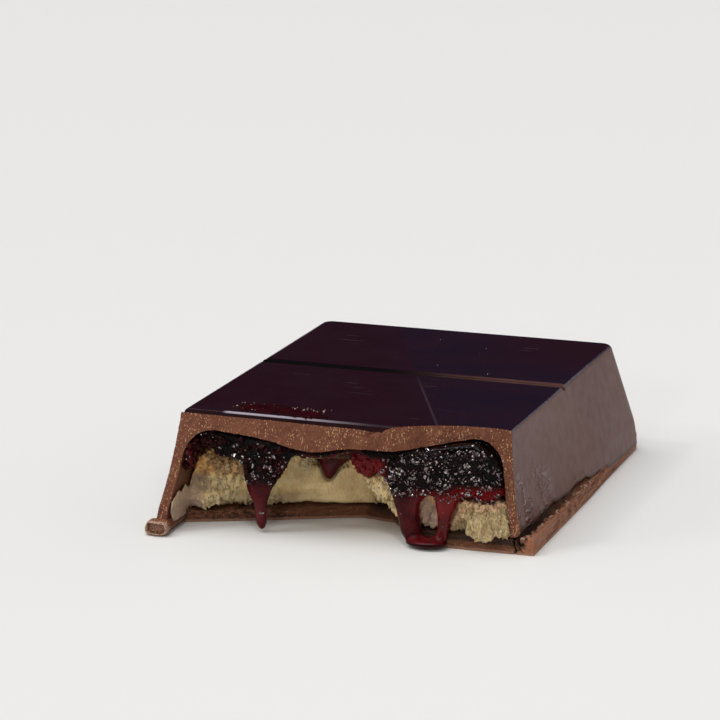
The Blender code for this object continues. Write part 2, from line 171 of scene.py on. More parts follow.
def copy_of(node, name):
    """A merged copy of a CAD node's mesh, to be shaped further."""
    piece = into_scene(name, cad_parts[node].data.copy())
    piece.data.materials.clear()
    only(piece)
    bpy.ops.mesh.customdata_custom_splitnormals_clear()
    bpy.ops.object.mode_set(mode="EDIT")
    bpy.ops.mesh.select_all(action="SELECT")
    bpy.ops.mesh.remove_doubles(threshold=0.004 * MM)
    bpy.ops.object.mode_set(mode="OBJECT")
    return piece


def finish_with(piece, kind, **settings):
    """Adds a modifier with these settings and applies it."""
    modifier = piece.modifiers.new(kind.lower(), kind)
    for name, value in settings.items():
        setattr(modifier, name, value)
    only(piece)
    bpy.ops.object.modifier_apply(modifier=modifier.name)


def remesh(piece, size):
    finish_with(piece, "REMESH", mode="VOXEL", voxel_size=size * MM, use_smooth_shade=True)


def refine(piece, inside, longest):
    """Halves the edges of a region until none is longer than this."""
    for _ in range(9):
        ends = corners_of(piece)[edge_pairs(piece)]
        long = np.linalg.norm(ends[:, 0] - ends[:, 1], axis=1) > longest
        chosen = long & inside(ends.mean(axis=1))
        if not chosen.any():
            return
        pick(piece, edges=chosen)
        bpy.ops.mesh.subdivide(number_cuts=1, quadcorner="STRAIGHT_CUT")
        bpy.ops.mesh.select_all(action="SELECT")
        bpy.ops.mesh.quads_convert_to_tris(quad_method="SHORTEST_DIAGONAL", ngon_method="BEAUTY")
        bpy.ops.object.mode_set(mode="OBJECT")


def thin_out_back(piece):
    """Leaves few of the faces in the part that doesn't show."""
    middles, _ = face_places(piece)
    pick(piece, faces=middles[:, 1] > HIDDEN_Y)
    bpy.ops.mesh.decimate(ratio=HIDDEN_SHARE)
    bpy.ops.object.mode_set(mode="OBJECT")


def weigh(piece, name, weights):
    """A vertex group of these weights, in twentieths."""
    group = piece.vertex_groups.new(name=name + " weights")
    levels = np.round(np.clip(weights, 0, 1) * 20).astype(int)
    for level in range(1, 21):
        group.add(np.flatnonzero(levels == level).tolist(), level / 20, "REPLACE")
    return group.name


def roughen(piece, kind, size, depth, group="", direction="NORMAL", stretch=(1, 1, 1), **settings):
    """Pushes the surface in and out by a procedural texture, which may be longer along an axis."""
    texture = bpy.data.textures.new(f"{piece.name}_{kind.lower()}", kind)
    texture.noise_scale = size * MM
    for name, value in settings.items():
        setattr(texture, name, value)
    guide = into_scene("guide", None)
    guide.scale = stretch
    bpy.context.view_layer.update()
    finish_with(
        piece,
        "DISPLACE",
        texture=texture,
        texture_coords="OBJECT",
        texture_coords_object=guide,
        strength=depth * MM,
        vertex_group=group,
        direction=direction,
    )
    bpy.data.objects.remove(guide)


def paint(piece, name, values):
    """A value at every corner, which the material reads by this name."""
    layer = piece.data.attributes.new(name, "FLOAT", "POINT")
    layer.data.foreach_set("value", np.asarray(values, np.float32))


def hollows(piece, rounds):
    """How deep each corner lies under the smoothed surface, and so below 0 on a bump."""
    pairs = edge_pairs(piece)
    one, other = pairs.T
    corners = corners_of(piece)
    smooth = corners.copy()
    count = np.bincount(pairs.ravel(), minlength=len(corners))[:, None] + 1.0
    for _ in range(rounds):
        total = smooth.copy()
        np.add.at(total, one, smooth[other])
        np.add.at(total, other, smooth[one])
        smooth = total / count
    return ((smooth - corners) * normals_of(piece)).sum(axis=1)


def shade_smooth(piece, up_to=None):
    """Smooth shading, or with sharp edges where faces meet at more than some degrees."""
    only(piece)
    if up_to is None:
        bpy.ops.object.shade_smooth()
    else:
        bpy.ops.object.shade_smooth_by_angle(angle=math.radians(up_to))


def settle(piece, slot, *replaced):
    """Hands the piece over: nothing of it stands out of the object's box, apart from the film on the top."""
    lowest, highest = np.array([list(corner) for corner in cad_box]) / MM
    highest[2] += TOP_FILM
    move_corners(piece, np.clip(corners_of(piece), lowest, highest))
    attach(piece, "root")
    if replaced:
        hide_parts(*replaced)


# --- tools for materials ---


class Mix:
    """A material being built: nodes are added by type and joined by their sockets."""

    def __init__(self, tree):
        self.tree = tree

    def add(self, kind, settings=None, **inputs):
        node = self.tree.nodes.new(kind)
        for name, value in (settings or {}).items():
            setattr(node, name, value)
        return self.fill(node, **inputs)

    def fill(self, node, **inputs):
        for name, value in inputs.items():
            self.set(node, name.replace("_", " "), value)
        return node

    def set(self, node, name, value):
        """Links a socket, or sets its value. The name may be the input's number."""
        socket = node.inputs[name]
        if isinstance(value, bpy.types.NodeSocket):
            self.tree.links.new(value, socket)
        elif socket.type == "RGBA":
            socket.default_value = (*value, 1)
        else:
            socket.default_value = value

    def calc(self, operation, first, second=0.0):
        node = self.add("ShaderNodeMath", {"operation": operation})
        self.set(node, 0, first)
        self.set(node, 1, second)
        return node.outputs[0]

    def plus(self, first, second):
        return self.calc("ADD", first, second)

    def minus(self, first, second):
        return self.calc("SUBTRACT", first, second)

    def apart(self, first, second):
        return self.calc("ABSOLUTE", self.minus(first, second))

    def times(self, product, *factors):
        for factor in factors:
            product = self.calc("MULTIPLY", product, factor)
        return product

    def vector(self, operation, first, second):
        node = self.add("ShaderNodeVectorMath", {"operation": operation})
        self.set(node, 0, first)
        self.set(node, "Scale" if operation == "SCALE" else 1, second)
        return node.outputs

    def ramp(self, value, low, high, start=0.0, end=1.0):
        """value from low to high becomes start to end, softly."""
        node = self.add("ShaderNodeMapRange", {"interpolation_type": "SMOOTHSTEP"}, Value=value)
        return self.fill(node, From_Min=low, From_Max=high, To_Min=start, To_Max=end).outputs[0]

    def blend(self, share, first, second):
        """The first colour with a share of the second over it."""
        node = self.add("ShaderNodeMix", {"data_type": "RGBA"})
        for index, value in ((0, share), (6, first), (7, second)):
            self.set(node, index, value)
        return node.outputs[2]

    def group(self, tree, **inputs):
        return self.add("ShaderNodeGroup", {"node_tree": tree}, **inputs).outputs

    def grain(self, **inputs):
        return self.group(GRAIN, **inputs)["Mask"]

    def specks(self, **inputs):
        return self.group(SPECKS, **inputs)["Mask"]

    def painted(self, name):
        """What paint() left at this place."""
        return self.add("ShaderNodeAttribute", {"attribute_name": name}).outputs["Fac"]

    def bump(self, height, distance):
        return self.add("ShaderNodeBump", Strength=1.0, Distance=distance * MM, Height=height).outputs[0]

    def surface(self, **inputs):
        self.fill(self.tree.nodes["Principled BSDF"], **inputs)


def new_group(name, inputs, outputs):
    """A shader node group with these sockets, as (name, kind, default), and its builder."""
    tree = bpy.data.node_groups.new(name, "ShaderNodeTree")
    for label, kind, default in inputs:
        socket = tree.interface.new_socket(label, in_out="INPUT", socket_type=f"NodeSocket{kind}")
        socket.default_value = default
    for label in outputs:
        tree.interface.new_socket(label, in_out="OUTPUT", socket_type="NodeSocketFloat")
    mix = Mix(tree)
    return tree, mix, mix.add("NodeGroupInput").outputs, mix.add("NodeGroupOutput")


SIZE_SOCKETS = (("Size", "Float", 1.0), ("Stretch", "Vector", (1, 1, 1)))


def place_in_mm(mix):
    return mix.vector("SCALE", mix.add("ShaderNodeTexCoord").outputs["Object"], 1 / MM)[0]


def texture_of_size(mix, kind, given, **inputs):
    """A texture with features of the given Size in millimetres, longer along an axis by Stretch."""
    spread = mix.vector("DIVIDE", place_in_mm(mix), given["Stretch"])[0]
    return mix.add(kind, Vector=spread, Scale=mix.calc("DIVIDE", 1.0, given["Size"]), **inputs).outputs


def grain_group():
    """Soft noise, as a mask between two levels."""
    sockets = (("Low", "Float", 0.35), ("High", "Float", 0.65), ("Detail", "Float", 3.0))
    tree, mix, given, out = new_group("grain", SIZE_SOCKETS + sockets, ("Mask",))
    clouds = texture_of_size(mix, "ShaderNodeTexNoise", given, Detail=given["Detail"], Roughness=0.55)
    mix.set(out, "Mask", mix.ramp(clouds["Fac"], given["Low"], given["High"]))
    return tree


def specks_group():
    """Scattered small specks. Share is how many cells hold one, and Level differs from cell to cell."""
    sockets = (("Share", "Float", 0.3), ("Radius", "Float", 0.3))
    tree, mix, given, out = new_group("specks", SIZE_SOCKETS + sockets, ("Mask", "Level"))
    cells = texture_of_size(mix, "ShaderNodeTexVoronoi", given)
    levels = mix.add("ShaderNodeSeparateColor", Color=cells["Color"]).outputs
    spot = mix.ramp(cells["Distance"], given["Radius"], mix.times(given["Radius"], 0.5))
    mix.set(out, "Mask", mix.times(mix.calc("LESS_THAN", levels[0], given["Share"]), spot))
    mix.set(out, "Level", levels[1])
    return tree


def place_group():
    """The point's place in millimetres, an output for each axis."""
    tree, mix, _, out = new_group("place", (), "XYZ")
    parts = mix.add("ShaderNodeSeparateXYZ", Vector=place_in_mm(mix)).outputs
    mix.fill(out, **{axis: parts[axis] for axis in "XYZ"})
    return tree


GRAIN, SPECKS, PLACE = grain_group(), specks_group(), place_group()


def new_material(name):
    material = bpy.data.materials.new(name)
    material.use_nodes = True
    return material, Mix(material.node_tree)


def glossy_skin():
    """The moulded top: almost black, mirror smooth, with smudges, faint rubs and a few specks of dust; with
    painted reflections, painted highlights along the front lip and right edge, and painted shade in the
    groove.
    """
    material, mix = new_material("moulded top")
    place = mix.group(PLACE)
    across = mix.plus(place["X"], mix.times(place["Y"], 0.45))
    # painted reflection: violet to the right of a faint diagonal, reddish to its left, as the mirror-smooth
    # top reflects the surroundings
    violet_reflection = mix.plus(mix.ramp(across, 3.2, 3.6, 0, 0.6), mix.ramp(across, -12, 18, 0, 0.4))
    cloud = mix.grain(Size=9.0, Low=0.3, High=0.7)
    colour = mix.blend(violet_reflection, (0.0165, 0.0030, 0.0045), (0.0105, 0.0055, 0.0135))
    colour = mix.blend(mix.times(cloud, 0.5), colour, (0.022, 0.008, 0.012))
    rear = mix.times(mix.ramp(place["Y"], 8, 34), mix.ramp(place["X"], -2, 24), 0.8)
    colour = mix.blend(rear, colour, (0.0200, 0.0042, 0.0060))
    dust = mix.specks(Size=3.2, Share=0.05, Radius=0.08)
    rub = mix.grain(Size=1.6, Stretch=(6, 0.5, 1), Low=0.68, High=0.74, Detail=1.0)
    rub = mix.times(rub, mix.grain(Size=11.0, Low=0.58, High=0.66, Detail=0.0))
    colour = mix.blend(mix.times(rub, 0.16), colour, (0.16, 0.12, 0.13))
    # painted reflection: a faint bow-shaped line stands for the edge of a reflection on the top
    painted_reflection_line = mix.ramp(mix.apart(across, 3.3), 0.32, 0.12)
    painted_reflection_line = mix.times(painted_reflection_line, mix.ramp(place["Y"], 6, -10, 0.0, 0.7))
    colour = mix.blend(painted_reflection_line, colour, (0.055, 0.038, 0.045))
    in_groove = mix.apart(place["Y"], GROOVE_Y + 0.4)
    # the main groove's far wall: a brown band, wider to the right, above a floor painted dark as shade
    brown_band = mix.times(
        mix.ramp(place["X"], -6, 20),
        mix.ramp(place["Z"], 22.40, 22.58),
        mix.ramp(cloud, 0, 1, 0.75, 1.0),
        mix.ramp(mix.apart(place["Z"], 22.78), 0.02, 0.10, 0.35, 1.0),
    )
    # painted shade: the groove's floor near black, dark brown at its right end
    deep = mix.blend(mix.ramp(place["X"], 22, 31), (0.0012, 0.0006, 0.0009), (0.055, 0.024, 0.020))
    wall = mix.blend(brown_band, deep, (0.110, 0.050, 0.042))
    colour = mix.blend(mix.ramp(in_groove, 1.6, 1.5), colour, wall)
    # painted highlight: a pale line along the rounded lip of the front groove, brightest at the left
    painted_lip_highlight = mix.times(
        mix.ramp(mix.apart(place["Y"], GROOVE_LIP_Y + 0.1), 0.55, 0.35),
        mix.ramp(place["X"], -24.5, -23),
        mix.ramp(place["Z"], 22.70, 22.82),
        mix.ramp(place["X"], 8, -14, 0.05, 1.0),
    )
    colour = mix.blend(painted_lip_highlight, colour, (0.42, 0.38, 0.44))
    # painted highlight: a thin violet line along the right top edge, broken up in places
    highlight_breaks = mix.grain(Size=0.7, Low=0.45, High=0.6, Detail=2.0)
    edge = mix.times(mix.ramp(place["X"], 31.55, 31.75), mix.ramp(highlight_breaks, 0, 1, 0.2, 1.0))
    colour = mix.blend(edge, colour, (0.060, 0.048, 0.085))
    colour = mix.blend(mix.times(dust, 0.7), colour, (0.30, 0.24, 0.23))
    rough = mix.ramp(mix.grain(Size=5.0, Detail=4.0), 0, 1, 0.09, 0.13)
    waves = mix.grain(Size=14.0, Low=0.0, High=1.0, Detail=1.0)
    mix.surface(
        Base_Color=colour,
        Roughness=mix.plus(rough, mix.times(mix.plus(rub, dust), 0.2)),
        Normal=mix.bump(mix.plus(waves, mix.times(dust, 0.2)), 0.10),
    )
    return material


def satin_skin():
    """The drawn side walls: satin, with upright streaks, mottling and a dimpled patch near the break;
    painted shadow along the foot and painted highlights on the dimples.
    """
    material, mix = new_material("satin side")
    place = mix.group(PLACE)
    streak = mix.grain(Size=0.9, Stretch=(1, 1.2, 9), Low=0.3, High=0.72, Detail=4.0)
    mottle = mix.grain(Size=2.6, Low=0.38, High=0.66, Detail=5.0)
    broad = mix.grain(Size=11.0, Stretch=(1, 1, 3), Low=0.35, High=0.65, Detail=1.0)
    colour = mix.blend(broad, (0.098, 0.0325, 0.0240), (0.113, 0.039, 0.0285))
    colour = mix.blend(mix.times(streak, 0.07), colour, (0.175, 0.088, 0.068))
    # painted shadow: a dark line along the foot of the wall, where it meets the base
    foot = mix.painted("foot")
    foot = mix.times(mix.ramp(foot, 0.25, 0.75), mix.ramp(mottle, 0, 1, 0.9, 0.6))
    colour = mix.blend(foot, colour, (0.040, 0.016, 0.009))
    colour = mix.blend(mix.times(mottle, 0.06), colour, (0.070, 0.025, 0.020))
    pits = mix.specks(Size=3.0, Share=0.2, Radius=0.11, Stretch=(1, 1, 2))
    colour = mix.blend(mix.times(pits, 0.5), colour, (0.02, 0.009, 0.008))
    near = mix.times(
        mix.ramp(place["Y"], -10, -18),
        mix.ramp(place["Z"], 16, 11),
        mix.ramp(place["Z"], 2.5, 6.0, 0.3, 1.0),
        mix.ramp(place["X"], 20, 30),
        mix.grain(Size=5.0, Low=0.38, High=0.62, Detail=2.0),
    )
    dimples = mix.grain(Size=0.9, Stretch=(1, 2.6, 1), Low=0.25, High=0.75, Detail=2.0)
    # painted highlight: pale flecks on the crests of the dimples
    painted_dimple_highlight = mix.grain(Size=0.9, Stretch=(1, 2.6, 1), Low=0.58, High=0.66, Detail=1.0)
    relief = mix.plus(mix.times(streak, 0.05), mix.times(mottle, 0.08))
    mix.surface(
        Base_Color=mix.blend(mix.times(painted_dimple_highlight, near), colour, (0.26, 0.19, 0.18)),
        Roughness=mix.minus(mix.ramp(mottle, 0, 1, 0.41, 0.46), mix.times(near, 0.16)),
        Normal=mix.bump(mix.plus(relief, mix.times(dimples, near, 3.0)), 0.16),
        Specular_IOR_Level=0.25,
    )
    return material


def broken_chocolate():
    """Where the shell is broken: milk brown, with light flecks and bunches of short scratches."""
    material, mix = new_material("broken shell")
    body = mix.grain(Size=2.4, Low=0.3, High=0.7, Detail=4.0)
    colour = mix.blend(body, (0.138, 0.0395, 0.0180), (0.202, 0.067, 0.0325))
    fine = mix.grain(Size=0.32, Low=0.42, High=0.62, Detail=2.0)
    colour = mix.blend(mix.times(fine, 0.35), colour, (0.085, 0.032, 0.017))
    flecks = mix.group(SPECKS, Size=0.42, Share=0.75, Radius=0.42, Stretch=(0.8, 1, 1.3))
    patches = mix.grain(Size=4.0, Low=0.40, High=0.60, Detail=1.0)
    leg = mix.ramp(mix.calc("ABSOLUTE", mix.group(PLACE)["X"]), 27, 30)
    bright = mix.times(
        flecks["Mask"],
        mix.ramp(flecks["Level"], 0.1, 0.9, 0.2, 1.0),
        mix.ramp(mix.calc("MAXIMUM", patches, leg), 0, 1, 0.3, 1.0),
    )
    strokes = mix.specks(Size=0.85, Share=0.7, Radius=0.34, Stretch=(0.35, 1, 2.8))
    bunches = mix.grain(Size=3.0, Stretch=(1.3, 1, 0.9), Low=0.56, High=0.62, Detail=0.0)
    light = mix.calc("MAXIMUM", bright, mix.times(strokes, bunches))
    colour = mix.blend(mix.times(light, 0.85), colour, (0.72, 0.42, 0.22))
    # painted highlight: where a piece is marked pale, as the rim of the lip's hollow
    pale = mix.painted("pale")
    colour = mix.blend(mix.times(pale, mix.ramp(fine, 0, 1, 1.0, 0.4)), colour, (0.50, 0.33, 0.25))
    holes = mix.specks(Size=1.9, Share=0.25, Radius=0.13)
    colour = mix.blend(mix.times(holes, 0.8), colour, (0.03, 0.012, 0.008))
    relief = mix.minus(mix.plus(mix.times(light, 0.8), mix.times(fine, 0.5)), holes)
    mix.surface(
        Base_Color=colour,
        Roughness=mix.ramp(body, 0, 1, 0.42, 0.58),
        Normal=mix.bump(relief, 0.13),
        Specular_IOR_Level=0.25,
    )
    return material


def inner_chocolate():
    """The inside of the shell, smooth where the filling came away."""
    material, mix = new_material("inside of shell")
    body = mix.grain(Size=3.0, Detail=4.0)
    fine = mix.grain(Size=0.5, Detail=2.0)
    colour = mix.blend(body, (0.100, 0.026, 0.009), (0.150, 0.046, 0.018))
    mix.surface(
        Base_Color=mix.blend(mix.times(fine, 0.3), colour, (0.13, 0.06, 0.035)),
        Roughness=mix.ramp(body, 0, 1, 0.35, 0.5),
        Normal=mix.bump(fine, 0.05),
    )
    return material


def base_chocolate():
    """The base: coarse milk brown in thin layers, lighter along its lower edge, with painted shadow in the
    trough under the wall.
    """
    material, mix = new_material("base chocolate")
    place = mix.group(PLACE)
    layers = mix.grain(Size=0.45, Stretch=(7, 7, 1), Low=0.35, High=0.65, Detail=3.0)
    body = mix.grain(Size=1.5, Detail=4.0)
    colour = mix.blend(layers, (0.095, 0.032, 0.014), (0.180, 0.068, 0.034))
    colour = mix.blend(mix.times(body, 0.35), colour, (0.23, 0.095, 0.050))
    outer = mix.ramp(place["X"], 33.0, 35.5)
    colour = mix.blend(mix.times(outer, 0.8), colour, (0.40, 0.165, 0.085))
    crumbly = mix.times(mix.ramp(place["X"], -8, -15), mix.ramp(place["Y"], -12, -24))
    gaps = mix.grain(Size=0.6, Stretch=(1.6, 1.6, 1), Low=0.50, High=0.58, Detail=2.0)
    colour = mix.blend(mix.times(crumbly, gaps, 0.75), colour, (0.030, 0.012, 0.007))
    flecks = mix.specks(Size=0.6, Share=mix.ramp(crumbly, 0, 1, 0.25, 0.55), Radius=0.28)
    colour = mix.blend(mix.times(flecks, 0.5), colour, (0.52, 0.31, 0.20))
    # painted shadow: near black in the trough under the wall's foot
    trough = mix.painted("trough")
    colour = mix.blend(mix.times(trough, 0.9), colour, (0.022, 0.009, 0.005))
    low = mix.ramp(place["Z"], 0.75, 0.35)
    colour = mix.blend(mix.times(low, 0.55), colour, (0.42, 0.24, 0.16))
    fine = mix.grain(Size=0.35, Low=0.3, High=0.7, Detail=3.0)
    mix.surface(
        Base_Color=colour,
        Roughness=mix.ramp(body, 0, 1, 0.45, 0.62),
        Normal=mix.bump(mix.plus(layers, fine), 0.14),
        Specular_IOR_Level=0.2,
    )
    return material


def wet_jam():
    """Wet dark jam: black where it is thick, wine red where it is thin, grainy in the middle of the mass."""
    material, mix = new_material("wet jam")
    thin = mix.painted("thin")
    cloud = mix.grain(Size=2.2, Low=0.3, High=0.7, Detail=3.0)
    deep = mix.blend(cloud, (0.0008, 0.0003, 0.0003), (0.0060, 0.0008, 0.0012))
    red = mix.blend(cloud, (0.068, 0.0032, 0.0052), (0.132, 0.0058, 0.0088))
    colour = mix.blend(thin, deep, red)
    fine = mix.grain(Size=0.42, Low=0.2, High=0.8, Detail=3.0)
    fine = mix.times(fine, mix.ramp(mix.painted("grainy"), 0, 1, 0.05, 1.1))
    soft = mix.grain(Size=1.6, Low=0.0, High=1.0, Detail=2.0)
    soft = mix.times(soft, mix.ramp(thin, 0.2, 0.6, 0.3, 1.6))
    mix.surface(
        Base_Color=mix.blend(mix.times(mix.painted("bright"), 0.9), colour, (0.14, 0.0015, 0.003)),
        Roughness=mix.ramp(cloud, 0, 1, 0.04, 0.10),
        Normal=mix.bump(mix.plus(soft, fine), 0.16),
        Specular_IOR_Level=0.08,
        Coat_Weight=mix.ramp(thin, 0.3, 0.8, 0.0, 0.2),
        Coat_Roughness=0.04,
    )
    return material


def pale_crumb():
    """The filling: pale yellow and fibrous, browner in baked bits, stained by jam; painted shade in its
    hollows and under the overhang, and the same grey on the film and in the window.
    """
    material, mix = new_material("pale crumb")
    place = mix.group(PLACE)
    body = mix.grain(Size=1.8, Low=0.3, High=0.7, Detail=4.0)
    fibre = mix.grain(Size=0.35, Stretch=(1, 1, 2.6), Low=0.32, High=0.68, Detail=3.0)
    colour = mix.blend(body, (0.76, 0.52, 0.21), (0.92, 0.70, 0.36))
    colour = mix.blend(mix.ramp(place["X"], 12, 20, 0.0, 0.8), colour, MOIST_CRUMB)
    colour = mix.blend(mix.times(fibre, 0.4), colour, (0.92, 0.80, 0.52))
    # painted shade: darker and browner in the hollows between bumps
    colour = mix.blend(mix.ramp(mix.painted("hollow"), 0.10, 0.45), colour, (0.56, 0.39, 0.17))
    # painted shade under the overhang, and the same grey on the film and in the window
    colour = mix.blend(mix.times(mix.painted("grey"), 0.85), colour, (0.42, 0.29, 0.21))
    crumb = mix.grain(Size=0.8, Low=0.38, High=0.6, Detail=3.0)
    toasted = mix.blend(crumb, (0.56, 0.265, 0.080), (0.82, 0.49, 0.20))
    colour = mix.blend(mix.painted("baked"), colour, toasted)
    near = mix.times(mix.painted("near_jam"), mix.ramp(body, 0, 1, 0.3, 0.8))
    mix.surface(
        Base_Color=mix.blend(near, colour, (0.85, 0.42, 0.30)),
        Roughness=0.62,
        Specular_IOR_Level=0.3,
        Subsurface_Weight=0.5,
        Subsurface_Radius=(1.0, 0.75, 0.45),
        Subsurface_Scale=0.9 * MM,
        Normal=mix.bump(mix.plus(fibre, mix.times(crumb, 0.8)), 0.09),
    )
    return material


# --- pieces ---


def half_width(y, z):
    """From the middle to the outer face of a side wall, as in the CAD."""
    drafted = np.minimum(TOP_HALF_WIDTH + SIDE_DRAFT * (TOP_Z - z), FOOT_HALF_WIDTH)
    return drafted - PINCH * (1 - (z / TOP_Z) ** 2) * step(PINCH_START_Y, PINCH_END_Y, y)


def tree_of(piece, chosen=None):
    """The piece's faces, or the chosen ones, for finding the nearest place on them."""
    faces = piece.data.polygons
    if chosen is not None:
        faces = [face for face, wanted in zip(faces, chosen) if wanted]
    return BVHTree.FromPolygons([tuple(c) for c in corners_of(piece)], [tuple(f.vertices) for f in faces])


def chocolate_shell():
    """The moulded shell: rough where it is broken, with a ragged lower edge over the base."""
    shell = copy_of("chocolate_shell", "shell")
    shape_grooves(shell)
    corners = corners_of(shell)
    lip = (corners[:, 0] < -30) & (corners[:, 1] < LIP_BACK_Y) & (corners[:, 2] < 4)
    corners[lip, 1] = LIP_BACK_Y + 0.1 * (corners[lip, 1] - LIP_BACK_Y)
    move_corners(shell, corners)
    middles, normals = face_places(shell)
    broken = (normals[:, 1] < -0.4) & (normals[:, 2] < 0.5) & (middles[:, 1] < -20)
    break_tree = tree_of(shell, broken)

    def from_break(places):
        """How far each place is from the broken face, or 9 where it is far."""
        return np.array([break_tree.find_nearest(p)[3] if p[1] < -25 else 9.0 for p in places])

    def right_edge(places):
        return (places[:, 0] > 31.5) & (places[:, 2] < 7) & ((places[:, 1] < 44) | (places[:, 0] > 35.6))

    refine(shell, lambda places: from_break(places) < BREAK_DEPTH, 0.55)
    refine(shell, lambda places: (places[:, 0] > 31.8) & (places[:, 2] < 22.5), 2.6)
    refine(shell, right_edge, 0.8)
    refine(shell, lambda places: places[:, 2] > TOP_Z - 0.01, 3.0)
    middles, normals = face_places(shell)
    in_front_groove = (middles[:, 1] > FRONT_GROOVE_Y - 1.25) & (middles[:, 1] < FRONT_GROOVE_Y + 1.3)
    in_front_groove &= (middles[:, 2] > 21.85) & (normals[:, 2] > 0.40)
    x, _, z = corners_of(shell).T
    clean_from = np.where(x < 9, TOP_Z - GROOVE_DEPTH, TOP_Z)
    rough = (from_break(corners_of(shell)) < BREAK_DEPTH) * step(0.0, 0.8, z)
    rough = rough * step(clean_from - 0.1, clean_from - 0.9, z)
    group = weigh(shell, "broken", rough)
    roughen(shell, "CLOUDS", 2.6, 0.5, group, direction="Y", noise_depth=2)
    roughen(shell, "CLOUDS", 0.8, 0.30, group, noise_depth=1)
    ragged_lower_edge(shell)
    for material in (satin_skin(), glossy_skin(), BROKEN, inner_chocolate()):
        shell.data.materials.append(material)
    middles, normals = face_places(shell)
    kinds = np.zeros(len(middles), np.int32)
    kinds[normals[:, 2] > 0.68] = 1
    groove = (np.abs(middles[:, 1] - GROOVE_Y) < 1.3) & (middles[:, 2] > IN_GROOVE_Z) & (normals[:, 2] > 0.1)
    kinds[groove & (np.abs(normals[:, 0]) < 0.5)] = 1
    kinds[inside_faces(middles, normals)] = 3
    kinds[(from_break(middles) < 0.4) & (normals[:, 1] < -0.3) & (normals[:, 2] < 0.55)] = 2
    kinds[in_front_groove] = 1
    groove_end = in_front_groove & (middles[:, 0] > 4) & (middles[:, 1] < FRONT_GROOVE_Y + 0.3)
    groove_end |= (kinds == 1) & (middles[:, 2] < TOP_Z - GROOVE_DEPTH - 0.08) & (middles[:, 1] < -33)
    kinds[groove_end | ((kinds == 0) & (middles[:, 1] < -33) & (np.abs(middles[:, 0]) < 31.0))] = 2
    shell.data.polygons.foreach_set("material_index", kinds)
    shade_smooth(shell, up_to=32)
    settle(shell, "shell_chocolate", "chocolate_shell")
    return shell


def shape_grooves(shell):
    """The far wall of each score groove is steep, and the front one has a rounded lip."""
    corners = corners_of(shell)
    _, y, z = corners.T
    for groove_y in (GROOVE_Y, FRONT_GROOVE_Y):
        far_wall = (y > groove_y - 0.05) & (y < groove_y + GROOVE_HALF_WIDTH)
        far_wall &= (z > IN_GROOVE_Z) & (z < TOP_Z - 0.02)
        corners[far_wall, 1] += FAR_WALL_LEAN * (TOP_Z - z[far_wall]) / GROOVE_DEPTH
    move_corners(shell, corners)
    ends = corners_of(shell)[edge_pairs(shell)]
    on_lip = (np.abs(ends[:, :, 1] - GROOVE_LIP_Y) < 0.06) & (np.abs(ends[:, :, 2] - TOP_Z) < 0.06)
    pick(shell, edges=on_lip.all(axis=1))
    bpy.ops.mesh.bevel(offset=0.3 * MM, segments=4, affect="EDGES")
    bpy.ops.object.mode_set(mode="OBJECT")


def ragged_lower_edge(shell):
    """The right wall's lower edge rises and falls over the base."""
    corners = corners_of(shell)
    x, y, z = corners.T
    wave = 0.55 + 0.5 * np.sin(y * 0.36 + 0.8) + 0.22 * np.sin(y * 0.93 + 2.0) + 0.08 * np.sin(y * 2.3)
    wave = np.clip(wave, 0, 1.4) * step(-38, -30, y) * (1 - step(14, 26, y))
    outside = step(0.7, 0.2, half_width(y, z) - x) * (x > 0)
    outside = np.maximum(outside, step(35.8, 36.4, x) * (y > 43))
    # painted shadow: marks the wall's foot over the base, which satin_skin paints dark
    paint(shell, "foot", outside * step(4.5, 3.8, z))
    drop = SKIRT_DROP * step(4, 24, y) + BACK_SKIRT_DROP * step(24, 42, y)
    corners[:, 2] += (wave - drop) * outside * step(6.6, 3.7, z)
    move_corners(shell, corners)


def inside_faces(middles, normals):
    """Faces that look into the room inside the shell, or down at the base."""
    inward = normals[:, 0] * middles[:, 0] < -0.2 * np.abs(middles[:, 0])
    back = (normals[:, 1] < -0.5) & (middles[:, 1] > 30)
    return (inward & (np.abs(normals[:, 2]) < 0.9)) | (normals[:, 2] < -0.3) | back


def chocolate_base():
    base = copy_of("chocolate_base", "base")

    def rim(places):
        out = (places[:, 0] > 31.5) | (places[:, 1] > 41.5) | (places[:, 1] < -28) | (places[:, 0] < -31)
        return out & (places[:, 2] > 0.01)

    refine(base, rim, 0.8)
    corners = corners_of(base)
    x, y, z = corners.T
    past_wall = x - half_width(y, 3.4)
    ledge = np.clip((FOOT_HALF_WIDTH - half_width(y, 3.4)) / PINCH, 0, 1)
    trough = step(-0.9, -0.2, past_wall) * step(1.5, 0.6, past_wall) * ledge * (z > 2.0) * (x > 0)
    # painted shadow for the trough between the wall and the rim
    paint(base, "trough", step(1.3, 0.5, past_wall) * ledge * (z > 1.5) * (x > 0) * (y > -44))
    corners[:, 2] -= trough * (1.8 + 0.4 * np.sin(y * 1.1))
    corners[:, 0] -= 0.55 * step(5, 22, y) * step(36, 37, x)
    corners[:, 1] -= 0.6 * step(44.2, 45.6, y) * step(34.5, 36.5, x)
    move_corners(base, corners)
    corners = corners_of(base)
    group = weigh(base, "rim", step(0.0, 0.7, corners[:, 2]) * rim(corners))
    roughen(base, "CLOUDS", 2.2, 0.7, group, noise_depth=2)
    roughen(base, "CLOUDS", 0.8, 0.35, group, noise_depth=1)
    base.data.materials.append(base_chocolate())
    shade_smooth(base, up_to=40)
    settle(base, "base_chocolate", "chocolate_base")
    return base


